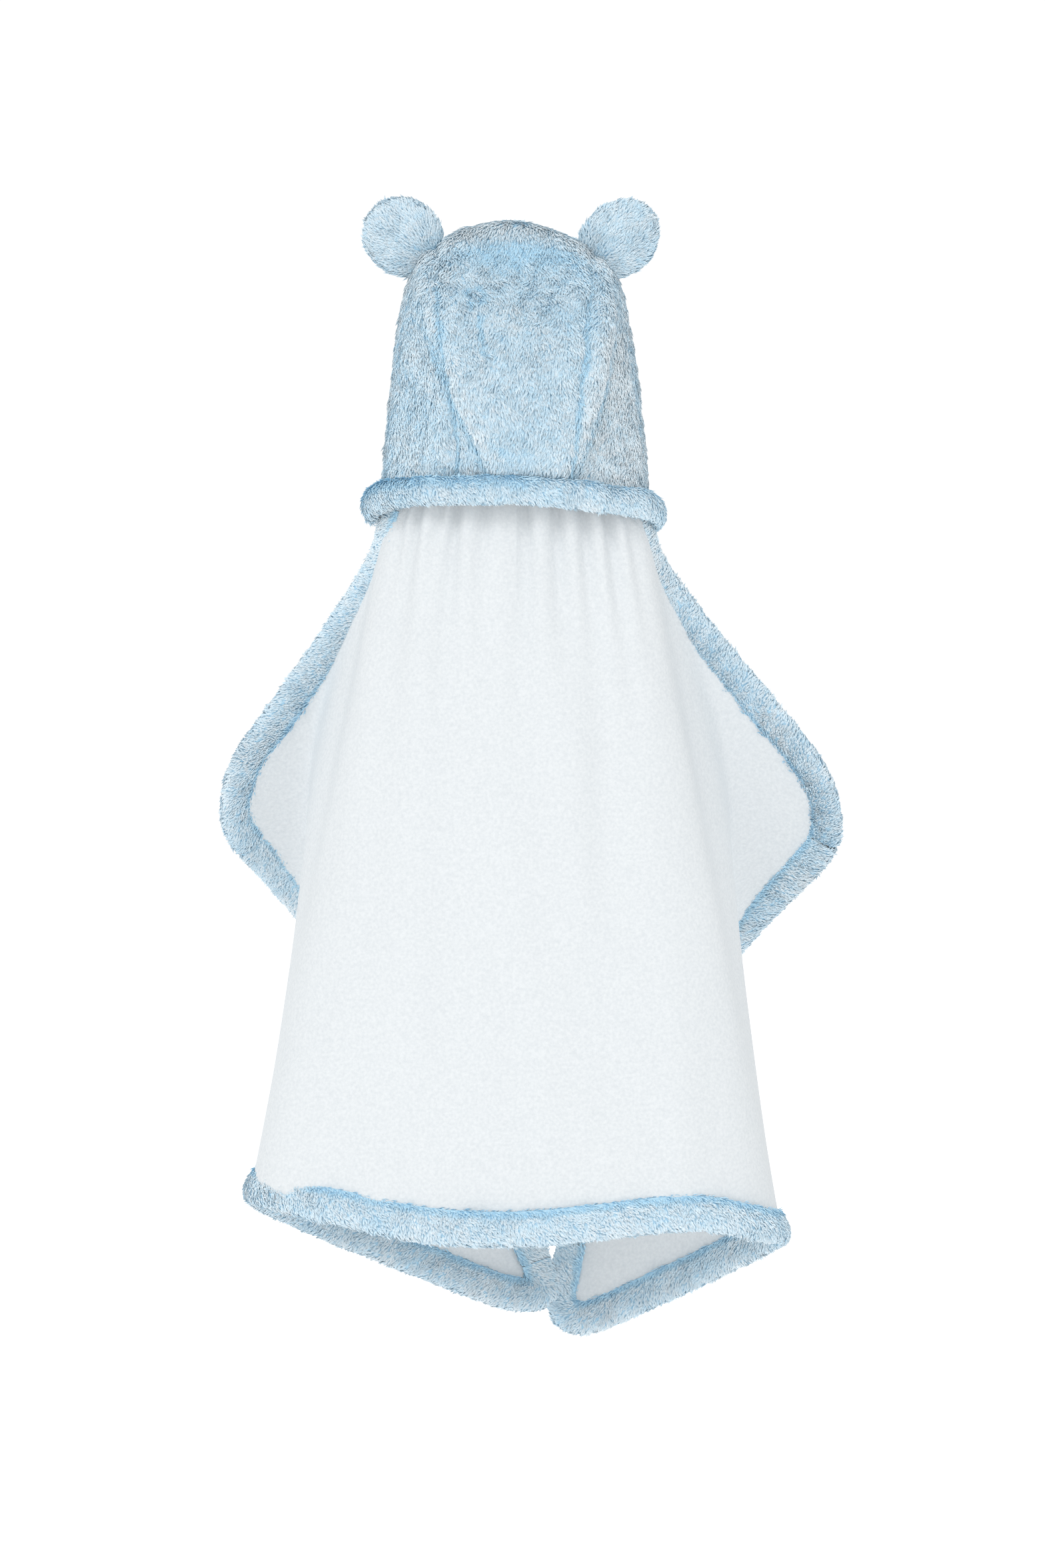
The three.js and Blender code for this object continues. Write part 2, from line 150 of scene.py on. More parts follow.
# ---------------------------------------------------------------- meshes
def mesh_object(name, verts, faces, uv=None, colours=None, material=None):
    """A mesh from mm vertices. uv is one pair for each vertex."""
    me = bpy.data.meshes.new(name)
    verts = np.asarray(verts, np.float32) * MM
    faces = np.asarray(faces, np.int32)
    size = faces.shape[1]
    me.vertices.add(len(verts))
    me.vertices.foreach_set("co", verts.ravel())
    me.loops.add(faces.size)
    me.loops.foreach_set("vertex_index", faces.ravel())
    me.polygons.add(len(faces))
    me.polygons.foreach_set("loop_start", np.arange(0, faces.size, size, dtype=np.int32))
    me.update(calc_edges=True)
    me.polygons.foreach_set("use_smooth", np.ones(len(faces), bool))
    if uv is not None:
        layer = me.uv_layers.new(name="OFBake")
        layer.data.foreach_set("uv", np.asarray(uv, np.float32)[faces.ravel()].ravel())
    if colours is not None:
        layer = me.color_attributes.new("tuft", "FLOAT_COLOR", "POINT")
        layer.data.foreach_set("color", np.asarray(colours, np.float32).ravel())
    me.update()
    ob = bpy.data.objects.new(name, me)
    bpy.context.scene.collection.objects.link(ob)
    if material:
        me.materials.append(material)
    return ob


def grid_object(name, p, material, closed=False):
    """A sheet from a grid of points; closed joins the last column to the first."""
    rows, cols = p.shape[:2]
    i, j = np.meshgrid(np.arange(rows - 1), np.arange(cols - (0 if closed else 1)), indexing="ij")
    a = i * cols + j
    b = i * cols + (j + 1) % cols
    faces = np.stack([a, b, b + cols, a + cols], -1).reshape(-1, 4)
    u, v = np.meshgrid(np.linspace(0.01, 0.99, rows), np.linspace(0.01, 0.99, cols), indexing="ij")
    return mesh_object(name, p.reshape(-1, 3), faces, np.stack([u, v], -1).reshape(-1, 2), material=material)


def pile(
    name, p, n, along, density, material, seed, length=PILE, lean=0.75, closed=False, keep=None, shade=None
):
    """Plush pile on a grid of points: leaning tufts, each a thin leaf, that clump as brushed plush does.

    keep picks the tufts by their roots, and shade, which is painted light and shade, makes them paler (+) or
    deeper blue (-).
    """
    width = TUFT_WIDTH
    rng = np.random.default_rng(seed)
    if closed:
        p, n, along = (np.concatenate([x, x[:, :1]], 1) for x in (p, n, along))
        shade = None if shade is None else np.concatenate([shade, shade[:, :1]], 1)
    e1 = p[1:, :-1] - p[:-1, :-1]
    e2 = p[:-1, 1:] - p[:-1, :-1]
    area = np.linalg.norm(np.cross(e1, e2), axis=-1)
    total = np.cumsum(area.ravel())
    count = int(density * total[-1])
    picks = (np.arange(count) + rng.random(count)) / count * total[-1]
    cell = np.minimum(np.searchsorted(total, picks), area.size - 1)
    ci, cj = np.unravel_index(cell, area.shape)
    fu, fv = rng.random((2, count, 1))

    def at(g):
        return (
            g[ci, cj] * (1 - fu) * (1 - fv)
            + g[ci + 1, cj] * fu * (1 - fv)
            + g[ci, cj + 1] * (1 - fu) * fv
            + g[ci + 1, cj + 1] * fu * fv
        )

    root, up, way = at(p), unit(at(n)), at(along)
    if keep is not None:
        ok = keep(root)
        root, up, way = root[ok], up[ok], way[ok]
        count = len(root)
    swirl = np.stack([noise(root, 11, seed + k) for k in range(3)], -1)
    strand = np.stack([noise(root, 3.6, seed + 5 + k) for k in range(3)], -1)
    jitter = rng.normal(0, 0.16, (count, 3))
    way = unit(way) + 0.42 * swirl + 0.42 * strand + jitter
    way = unit(way - up * np.sum(way * up, -1, keepdims=True))
    lift = 1 - lean + 0.2 * noise(root, 7, seed + 9)[:, None] + rng.normal(0, 0.06, (count, 1))
    lift = np.clip(lift, 0.2, 0.9)
    direction = unit(way * np.sqrt(1 - lift**2) + up * lift)
    ragged = 0.22 * noise(root, 5, seed + 11)[:, None]
    reach = length * (0.82 + ragged + 0.14 * rng.standard_normal((count, 1)))
    side = unit(np.cross(direction, up))
    half = 0.5 * width * (0.7 + 0.6 * rng.random((count, 1)))
    base = root - 0.3 * up
    middle = base + direction * reach * 0.5 + up * reach * 0.10
    tip = base + direction * reach - up * reach * 0.04
    verts = np.stack([base, middle - side * half, tip, middle + side * half], 1).reshape(-1, 3)
    k = np.arange(count)[:, None] * 4
    faces = np.concatenate([k + [0, 2, 1], k + [0, 3, 2]], 1).reshape(-1, 3)
    # Painted light and shade from the shade map, taken at each tuft's root.
    painted_light_and_shade = 0 if shade is None else at(shade[..., None])[:, 0]
    streaks = 0.26 * noise(root, 3.6, seed + 5)
    patches = 0.2 * noise(root, 26, seed + 21)
    tint = np.clip(0.55 + painted_light_and_shade + streaks + patches + rng.normal(0, 0.1, count), 0, 1)
    colours = np.zeros((count, 4, 4), np.float32)
    # Red runs from 0 at the root to 1 at the tip; the deeper blue roots are partly painted shade.
    colours[:, :, 0] = [0.0, 0.55, 1.0, 0.55]
    colours[:, :, 1] = tint[:, None]
    colours[:, :, 3] = 1
    across = int(math.ceil(math.sqrt(count)))
    corner = np.stack([np.arange(count) % across, np.arange(count) // across], -1)[:, None, :]
    leaf = np.array([[0.5, 0.08], [0.15, 0.5], [0.5, 0.92], [0.85, 0.5]])[None]
    uv = ((corner + leaf) / across).reshape(-1, 2)
    return mesh_object(name, verts, faces, uv, colours.reshape(-1, 4), material)


# ---------------------------------------------------------------- materials
def rgb(hexed):
    c = [int(hexed[k : k + 2], 16) / 255 for k in (0, 2, 4)]
    return tuple(x / 12.92 if x <= 0.04045 else ((x + 0.055) / 1.055) ** 2.4 for x in c) + (1.0,)


def new_material(name, roughness, sheen, sheen_tint=(1, 1, 1, 1)):
    m = bpy.data.materials.new(name)
    m.use_nodes = True
    nt = m.node_tree
    bsdf = nt.nodes["Principled BSDF"]
    bsdf.inputs["Roughness"].default_value = roughness
    bsdf.inputs["Sheen Weight"].default_value = sheen
    bsdf.inputs["Sheen Roughness"].default_value = 0.4
    bsdf.inputs["Sheen Tint"].default_value = sheen_tint
    bsdf.inputs["Specular IOR Level"].default_value = 0.25
    return m, nt, bsdf


def noise_node(nt, scale, detail):
    coord = nt.nodes.new("ShaderNodeTexCoord")
    tex = nt.nodes.new("ShaderNodeTexNoise")
    tex.inputs["Scale"].default_value = scale
    tex.inputs["Detail"].default_value = detail
    nt.links.new(coord.outputs["Object"], tex.inputs["Vector"])
    return tex


def ramp_node(nt, stops):
    ramp = nt.nodes.new("ShaderNodeValToRGB")
    elements = ramp.color_ramp.elements
    while len(elements) < len(stops):
        elements.new(0.5)
    for e, (at, colour) in zip(elements, stops):
        e.position = at
        e.color = rgb(colour)
    return ramp


def bump_node(nt, bsdf, tex, distance, strength=1.0):
    b = nt.nodes.new("ShaderNodeBump")
    b.inputs["Strength"].default_value = strength
    b.inputs["Distance"].default_value = distance
    nt.links.new(tex.outputs["Fac"], b.inputs["Height"])
    nt.links.new(b.outputs["Normal"], bsdf.inputs["Normal"])
    return b


def tuft_material(name):
    """Plush pile: blue and deeper at the roots, partly its own colour and partly painted shade from the pile
    around them, paler and greyer at the tips, in streaks.
    """
    m, nt, bsdf = new_material(name, 0.7, 0.0)
    attr = nt.nodes.new("ShaderNodeAttribute")
    attr.attribute_name = "tuft"
    split = nt.nodes.new("ShaderNodeSeparateColor")
    nt.links.new(attr.outputs["Color"], split.inputs["Color"])
    deep = ramp_node(nt, [(0.0, "A2D6F2"), (0.4, "BEE5FA"), (1.0, "D6F0FD")])
    pale = ramp_node(nt, [(0.0, "D8EFFB"), (0.4, "EAF7FE"), (1.0, "F8FCFF")])
    nt.links.new(split.outputs["Red"], deep.inputs["Fac"])
    nt.links.new(split.outputs["Red"], pale.inputs["Fac"])
    mix = nt.nodes.new("ShaderNodeMix")
    mix.data_type = "RGBA"
    nt.links.new(split.outputs["Green"], mix.inputs["Factor"])
    nt.links.new(deep.outputs["Color"], mix.inputs["A"])
    nt.links.new(pale.outputs["Color"], mix.inputs["B"])
    nt.links.new(mix.outputs["Result"], bsdf.inputs["Base Color"])
    return m


def backing_material(name):
    """The cloth that the pile stands on, seen only between tufts."""
    m, nt, bsdf = new_material(name, 0.85, 0.2)
    tex = noise_node(nt, 240, 3)
    ramp = ramp_node(nt, [(0.3, "B0D9F1"), (0.7, "C4E4F5")])
    nt.links.new(tex.outputs["Fac"], ramp.inputs["Fac"])
    nt.links.new(ramp.outputs["Color"], bsdf.inputs["Base Color"])
    bump_node(nt, bsdf, tex, 0.0008, 0.8)
    return m


def terry_material(name, low="DCE0E3", high="E8EBED"):
    m, nt, bsdf = new_material(name, 0.95, 0.08)
    tex = noise_node(nt, 620, 4)
    loops = noise_node(nt, 420, 2)
    ramp = ramp_node(nt, [(0.25, low), (0.7, high)])
    nt.links.new(loops.outputs["Fac"], ramp.inputs["Fac"])
    nt.links.new(ramp.outputs["Color"], bsdf.inputs["Base Color"])
    add = nt.nodes.new("ShaderNodeMath")
    add.operation = "MULTIPLY_ADD"
    add.inputs[1].default_value = 0.6
    nt.links.new(loops.outputs["Fac"], add.inputs[0])
    nt.links.new(tex.outputs["Fac"], add.inputs[2])
    b = nt.nodes.new("ShaderNodeBump")
    b.inputs["Strength"].default_value = 0.35
    b.inputs["Distance"].default_value = 0.0006
    nt.links.new(add.outputs[0], b.inputs["Height"])
    nt.links.new(b.outputs["Normal"], bsdf.inputs["Normal"])
    return m


TUFT = tuft_material("plush_pile")
BACKING = backing_material("plush_backing")
TERRY = terry_material("terry")
LINING = terry_material("lining_terry")
WADDING = terry_material("wadding_fibre", "F2F2F2", "FFFFFF")

# ---------------------------------------------------------------- the hood
HALF = [
    [[101, 22, -224], [96, 54, -165], [90, 68, -97], [81, 68, -46], [57, 63, -14], [0, 60, 2]],
    [[102, 17, -225], [96, 32, -170], [90, 36, -105], [81, 34, -54], [59, 30, -22], [0, 28, -5]],
    [[102, 11, -226], [97, 12, -172], [91, 8, -110], [80, 2, -56], [60, -8, -28], [0, -10, -8]],
    [[103, 7, -226], [98, 0, -180], [91, -8, -126], [79, -22, -78], [60, -34, -58], [0, -24, -44]],
    [[103, 4, -225], [99, -6, -192], [92, -15, -155], [74, -32, -122], [53, -50, -110], [0, -55, -103]],
    [[103, 1, -223], [100, -9, -204], [92, -20, -183], [71, -38, -166], [47, -54, -160], [0, -61, -158]],
    [[103, -2, -219], [101, -11, -212], [93, -23, -208], [72, -37, -205], [44, -46, -203], [0, -49, -202]],
]
ARCHES = np.array(
    [
        [[-x, y, z + TILT * x] for x, y, z in half] + [[x, y, z - TILT * x] for x, y, z in half[::-1][1:]]
        for half in HALF
    ],
    float,
)
NECK_ROW = 6.0


def hood(rows, s):
    """The hood's middle surface as a grid: rows run from 0, the face opening, to 6, the neck seam, and s from 0
    at the left to 10 at the right."""
    per_arch = np.stack([through(a, s) for a in ARCHES])
    return through(per_arch, rows)


def hood_detail(p, n, rows, s):
    """Seam grooves, the shield-like swell between them, and soft dents; positive is outwards. It also returns
    shade, the painted light and shade for the pile's colour.
    """
    r, c = np.meshgrid(rows, s, indexing="ij")
    body = ease(r, 2.3, 3.6)
    h = -3.0 * (bump(c, 4, 0.08) + bump(c, 6, 0.08)) * ease(r, 0.3, 1.5)
    x, z = p[..., 0], p[..., 2]
    left = np.interp(-z, [33, 139, 195, 225], [-79, -49, -22, -12])
    right = np.interp(-z, [63, 145, 207, 225], [79, 64, 45, 40])
    inside = 1 / (1 + np.exp(-(x - left) / 3.0)) / (1 + np.exp(-(right - x) / 3.0))
    h += body * (8.5 * inside - 2.0) * ease(-z, 36, 80)
    h += 3.0 * body * (bump(x, left + 8, 6) + bump(x, right - 8, 6)) * ease(-z, 40, 90)
    h += 1.6 * noise(p, (34, 30, 46), 3) + 0.9 * noise(p, (13, 13, 20), 4)
    h -= 3.0 * bump(r, 5.55, 0.16) * (0.5 + 0.5 * noise(p, 24, 8))
    # Painted shade along the seam grooves.
    seam_groove_shade = bump(c, 4, 0.03) + bump(c, 6, 0.03)
    # Painted light: the side panels paler than the centre, the right side most.
    painted_light_sides = (0.16 + 0.14 * np.tanh(x / 40)) * (1 - inside) * body
    # Painted highlight along the shield's ridges, and painted shade just outside them.
    painted_ridge_highlights = 0.25 * body * (bump(x, left + 6, 4) + bump(x, right - 6, 4))
    painted_ridge_shadows = 0.55 * body * (bump(x, left - 2, 2.4) + bump(x, right + 2, 2.4)) * ease(-z, 60, 120)
    shade = painted_light_sides + painted_ridge_highlights
    shade -= painted_ridge_shadows + 1.5 * seam_groove_shade * body
    # Painted shade in the dent below the crown.
    shade -= 0.75 * ease(r, 2.0, 2.4) * bump(z, -26, 10) * bump(x, 6, 42)
    crease = bump(z, -217 - 0.12 * (x + 60), 3.2) * ease(-x, 34, 42)
    crease = crease + bump(z, -207, 3.2) * ease(x, -24, -14) * ease(-x, -46, -36)
    h -= 3.0 * body * crease
    h += 2.0 * bump(r, 1.95, 0.2) - 3.5 * ease(r, 2.0, 2.4) * bump(z, -26, 10) * bump(x, 6, 42)
    # Painted highlight along the crown ridge.
    shade += 0.4 * bump(r, 1.95, 0.2)
    # Three short slanted dark streaks, painted into the pile's colour only.
    for sx, z0, z1 in ((-23, -112, -84), (-35, -76, -62), (-26, -70, -56)):
        dark_streak = bump(x + 0.12 * (z - z0), sx, 1.3) * ease(z, z0 - 4, z0) * ease(-z, -z1 - 4, -z1)
        shade -= 1.3 * body * dark_streak
    # Painted shade in the creases above the neck band.
    shade -= 1.0 * body * crease
    return p + n * (h + 2.2)[..., None], shade


def panel(side, s0, s1, seed, density):
    rows = np.linspace(0.12, NECK_ROW + 0.05, 150)
    s = np.linspace(s0, s1, 110)
    p = hood(rows, s)
    n = normals(p, -1)
    out = n * np.sign(np.sum(n * (p - [0, 20, -120]), -1).mean())
    p, shade = hood_detail(p, out, rows, s)
    out = out * 0.15 + 0.85 * np.sign(np.sum(out * normals(p), -1).mean()) * normals(p)
    skin = grid_object(f"hood_{side}_skin", p, BACKING)
    spread = unit(np.gradient(p, axis=1)) * np.tanh(p[..., :1] / 18) * 0.7
    comb = unit(np.gradient(p, axis=0)) * 0.12 + spread * ease(p[..., 2:], -60, -5) + np.array([0, 0, -1.0])
    fur = pile(f"hood_{side}_pile", p, unit(out), comb, density, TUFT, seed, shade=shade)
    for ob in (skin, fur):
        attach(ob, "hood")
    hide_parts(f"hood_{side}_panel")
    return skin, fur


DENSITY = 0.85
for side, s0, s1, seed in (("left", 0.2, 4.0, 11), ("centre", 4.0, 6.0, 12), ("right", 6.0, 9.8, 13)):
    panel(side, s0, s1, seed, DENSITY)


def lining(side, s0, s1):
    rows = np.linspace(0.15, NECK_ROW - 0.05, 70)
    s = np.linspace(s0, s1, 60)
    p = hood(rows, s)
    n = normals(p)
    out = n * np.sign(np.sum(n * (p - [0, 20, -120]), -1).mean())
    p = p - out * (5 + 0.9 * noise(p, (16, 16, 30), 31)[..., None])
    ob = grid_object(f"lining_{side}", p, LINING)
    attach(ob, "hood")
    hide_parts(f"lining_{side}_panel")
    return ob


LINING_SPANS = (("left", 0.9, 4.0), ("centre", 4.0, 6.0), ("right", 6.0, 9.1))
linings = {side: lining(side, a, b) for side, a, b in LINING_SPANS}


# ---------------------------------------------------------------- strips of binding
def strip(name, edge, inward, normal, leg, thick, nodes, seed, body=None, ends=True, flow=1):
    """A folded, padded strip of plush along an edge: fullest at its fold, pinched down where it is stitched.

    flow is 1 where the pile is combed along the edge, and -1 where it is combed back.
    """
    phi = np.linspace(0, 2 * np.pi, 29)[:-1]
    d = leg * 0.5 - (leg * 0.5 + 1.5) * np.cos(phi)
    full = 0.36 + 0.64 * (1 - np.clip(d / leg, 0, 1) ** 1.6)
    h = thick * np.sin(phi) * full
    taper = np.ones(len(edge))
    if ends:
        gap = np.cumsum(np.r_[0, np.linalg.norm(np.diff(edge, axis=0), axis=1)])
        reach = np.minimum(gap, gap[-1] - gap)
        taper = np.sqrt(np.clip(1 - (1 - np.clip(reach / 3.5, 0, 1)) ** 2, 0.3, 1))
    wave = 1 + 0.14 * noise(edge, 17, seed + 40)
    p = (
        edge[:, None]
        + inward[:, None] * (d * 1.0)[None, :, None]
        + normal[:, None] * (h[None] * (taper * wave)[:, None])[..., None]
        + normal[:, None] * (1.2 * noise(edge, 30, seed + 41))[:, None, None]
    )
    n = normals(p)
    centre = edge + inward * leg * 0.5
    n = n * np.sign(np.sum(n * (p - centre[:, None]), -1).mean())
    skin = grid_object(f"{name}_skin", p, BACKING, closed=True)
    run = unit(np.gradient(edge, axis=0))[:, None] * np.ones_like(p)
    way = run * 0.55 * flow - inward[:, None] * 0.85
    # Painted shade in the pinched groove where the strip is stitched; elsewhere slightly paler.
    stitch_groove_shade = (0.12 - 0.9 * ease(d, leg - 3.5, leg))[None] * np.ones((len(edge), 1))
    fur = pile(
        f"{name}_pile", p, n, way, 0.62, TUFT, seed, length=BINDING_PILE, lean=0.72, closed=True, shade=stitch_groove_shade
    )
    for ob in (skin, fur):
        if body:
            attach(ob, body)
    if nodes:
        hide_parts(*nodes)
    return skin, fur


def brim():
    s = np.linspace(0.3, 9.7, 260)
    rows = np.linspace(0, 0.4, 5)
    g = hood(rows, s)
    n = normals(g)
    n = n * np.sign(np.sum(n * (g - [0, 20, -120]), -1).mean())
    edge, inward = g[0] - 2.0 * n[0], unit(g[1] - g[0])
    nodes = ["hood_brim_binding"]
    return strip("hood_brim", edge, inward, n[0], BRIM_LEG, BRIM_HALF_THICK, nodes, 21, "hood")


brim_pieces = brim()


# ---------------------------------------------------------------- the neck band
def band():
    t = np.linspace(0, 1, 230)
    s = 0.1 + t * 9.8
    line = hood([NECK_ROW], s)[0]
    ahead = hood([NECK_ROW], s + 0.01)[0] - hood([NECK_ROW], s - 0.01)[0]
    ahead[:, 2] = 0
    ahead = unit(ahead)
    out = np.cross(ahead, [0, 0, 1])
    phi = np.linspace(0, 2 * np.pi, 29)[:-1]
    end = np.sqrt(np.maximum(0.03, 1 - np.abs(2 * t - 1) ** 26))
    swell = end * (1 + 0.13 * noise(line, 19, 51) + 0.07 * noise(line, 9, 53))
    mid = line + out * 10.5
    mid[:, 2] -= 15 + 2.2 * noise(line, 36, 52)
    ring_out = (6.4 * np.cos(phi))[None, :, None] * out[:, None]
    ring_up = (10.2 * np.sin(phi))[None, :, None] * np.array([0, 0, 1.0])
    p = mid[:, None] + (ring_out + ring_up) * swell[:, None, None]
    n = normals(p)
    n = n * np.sign(np.sum(n * (p - mid[:, None]), -1).mean())
    skin = grid_object("neck_band_skin", p, BACKING, closed=True)
    way = ahead[:, None] * 0.4 * np.ones_like(p) + np.array([0, 0, -0.9])
    # Painted shade from the crease above: the band's upper side on the left is deeper blue.
    crease_shade_on_band = -0.75 * (1 - ease(line[:, :1], -5, 30)) * ease(np.sin(phi), 0.15, 0.8)[None]
    fur = pile("neck_band_pile", p, n, way, 0.8, TUFT, 22, length=BINDING_PILE, closed=True, shade=crease_shade_on_band)
    for ob in (skin, fur):
        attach(ob, "hood")
    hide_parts("neck_band")
    return skin, fur


band_pieces = band()

# ---------------------------------------------------------------- the towel
FOLD = {
    "left": (np.array([-103.0, 2, -243]), np.array([-210.0, 2, -772])),
    "right": (np.array([106.0, 2, -247]), np.array([213.0, 2, -806])),
}
HEM = np.array([-772, -784, -797, -800, -794, -789, -806.0])
FLAP_ROWS = {
    "left": [
        [[-103, 2, -243], [-118, 18, -286], [-186, 42, -372], [-253, 46, -463]],
        [[-138.7, 2, -419.3], [-186, 56, -418], [-150, 78, -520], [-168, 158, -566]],
        [[-174.3, 2, -595.7], [-208, 62, -598], [-110, 84, -690], [-44, 160, -708]],
        [[-210, 2, -772], [-214, 62, -790], [-95, 108, -836], [62, 104, -901]],
    ],
    "right": [
        [[106, 2, -247], [122, 19, -288], [192, 42, -362], [285, 46, -473]],
        [[141.7, 2, -433.3], [192, 56, -434], [162, 80, -540], [180, 168, -590]],
        [[177.3, 2, -619.7], [214, 70, -620], [138, 104, -708], [74, 186, -726]],
        [[213, 2, -806], [218, 72, -818], [132, 134, -864], [12, 136, -921]],
    ],
}


def back(s, v):
    """The towel's back; s is -1 at the left fold and 1 at the right, v is 0 at the neck and 1 at the hem."""
    s, v = np.broadcast_arrays(np.asarray(s, float), np.asarray(v, float))
    left = FOLD["left"][0] + (FOLD["left"][1] - FOLD["left"][0]) * v[..., None]
    right = FOLD["right"][0] + (FOLD["right"][1] - FOLD["right"][0]) * v[..., None]
    angle = s * np.pi / 2
    across = np.sign(angle) * np.abs(np.sin(angle)) ** (2 / 2.5)
    out = np.maximum(np.cos(angle), 0) ** (2 / 2.5)
    p = left + (right - left) * ((across + 1) / 2)[..., None]
    top = NECK_TOP - TILT * p[..., 0] - 20 * np.abs(across) ** 6
    fine = np.linspace(0, 6, 241)
    hem = np.interp((across + 1) / 2 * 6, fine, through(HEM[:, None], fine)[:, 0])
    p[..., 1] -= (46 + 42 * v) * out
    p[..., 2] = top + (hem - top) * v
    return p


def flap(side, a, b):
    """A flap; a is 0 at the fold line and 1 at the outer edge, b is 0 at the top edge and 1 at the bottom."""
    a, b = np.broadcast_arrays(np.asarray(a, float), np.asarray(b, float))
    rows = np.array(FLAP_ROWS[side], float)
    q = 1 - a
    w = [q**3, 3 * a * q * q, 3 * a * a * q, a**3]
    per_row = [sum(w[k][..., None] * rows[r][k] for k in range(4)) for r in range(4)]
    ext = [2 * per_row[0] - per_row[1], *per_row, 2 * per_row[3] - per_row[2]]
    wb = weights(4, (b * 3).ravel()).reshape(b.shape + (6,))
    return sum(wb[..., k : k + 1] * ext[k] for k in range(6))


def corner_cut(y, r):
    near = np.clip(np.minimum(y, FLAP_L - y), 0, r)
    return r - np.sqrt(np.maximum(r * r - (r - near) ** 2, 0))


# Each gather's place along the neck, depth, and length down the cloth.
GATHERS = [
    (-88, 5, 110),
    (-74, 7, 170),
    (-58, 4, 80),
    (-45, 7, 190),
    (-22, 3.5, 90),
    (7, 6, 170),
    (33, 6.5, 200),
    (54, 6, 180),
    (72, 7, 170),
    (88, 4, 110),
]


def towel_folds(p, s, v):
    """How far the cloth stands out (+) or in (-): gathers below the neck band, then long soft folds."""
    down = v * FLAP_L
    x0 = p[..., 0] / (1 + 1.02 * v)
    h = np.zeros(p.shape[:-1])
    for x, depth, length in GATHERS:
        width = 4.2 + down * 0.045
        fade = np.exp(-((down / length) ** 1.5))
        h -= GATHER_DEPTH * depth * fade * bump(x0 + 2.5 * noise(p, 90, int(x) + 200), x, width / 1.6)
        h += 0.45 * depth * fade * bump(x0, x + 9, width)
    h += 5.0 * bump(x0, 34, 9) * ease(v, 0.08, 0.25) * (1 - ease(v, 0.45, 0.75))
    h -= 4.0 * bump(x0, 47, 8) * ease(v, 0.08, 0.25) * (1 - ease(v, 0.4, 0.7))
    h += 4.5 * bump(x0, -52, 11) * ease(v, 0.1, 0.3) * (1 - ease(v, 0.6, 0.95))
    h -= 3.5 * bump(x0, -34, 10) * ease(v, 0.15, 0.4) * (1 - ease(v, 0.5, 0.9))
    h += 5.0 * noise(p, (60, 200, 260), 61) * ease(v, 0.1, 0.5)
    h += 1.6 * noise(p, (26, 60, 70), 62)
    return h


def towel_half(side):
    sign = -1 if side == "left" else 1
    rows, cols_back, cols_flap = ((240, 130, 150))
    v = np.linspace(-0.03, 0.992, rows)
    y = np.clip(v, 0, 1) * FLAP_L
    s = sign * np.linspace(0, 1, cols_back) ** 0.9
    gb = back(s[None], v[:, None])
    reach = (FLAP_W - 4 - corner_cut(y, CORNER_R - 3)) / FLAP_W
    a = np.linspace(0, 1, cols_flap + 1)[1:][None] * reach[:, None]
    gf = flap(side, a, np.maximum(v, 0.006)[:, None])
    nb = normals(gb)
    nb = nb * np.sign(np.sum(nb * (gb - np.array([0, 60, -500])), -1).mean())
    sb, vb = np.meshgrid(s, v, indexing="xy")
    edge = 1 - ease(np.abs(sb), 0.75, 0.98)
    gb = gb + nb * (towel_folds(gb, sb, np.clip(vb, 0, 1)) * edge)[..., None]
    g = np.concatenate([gb, gf], 1)
    # Each row is spread evenly along its length, and the fold is rounded.
    step = np.linalg.norm(np.diff(g, axis=1), axis=2)
    run = np.concatenate([np.zeros((rows, 1)), np.cumsum(step, 1)], 1)
    cols = g.shape[1]
    even = np.empty_like(g)
    for r in range(rows):
        at = np.linspace(0, run[r, -1], cols)
        for k in range(3):
            even[r, :, k] = np.interp(at, run[r], g[r, :, k])
    at_fold = run[:, cols_back - 1] / run[:, -1] * (cols - 1)
    near_fold = bump(np.arange(cols)[None] - at_fold[:, None], 0, cols * 0.05)[..., None]
    sharp = smooth_along(even, 1.6, 1)
    inner = sharp + near_fold * (smooth_along(even, 6.0, 1) - sharp)
    inner[:, 0] = even[:, 0]
    g = smooth_along(inner, 1.5, 0)
    w = np.linspace(0, 1, cols)[None] * np.ones((rows, 1))
    n = normals(g)
    wave = 3.2 * noise(g, (70, 90, 200), 71 + (sign > 0)) * ease(w, 0.5, 0.7) * (1 - ease(w, 0.93, 1.0))
    g = g + n * wave[..., None]
    ob = grid_object(f"towel_{side}_half", g, TERRY)
    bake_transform(ob)
    nodes = [f"towel_{side}_flap"] + (["towel_back_panel"] if side == "left" else [])
    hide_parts(*nodes)
    return ob, g


towel = {side: towel_half(side) for side in ("left", "right")}


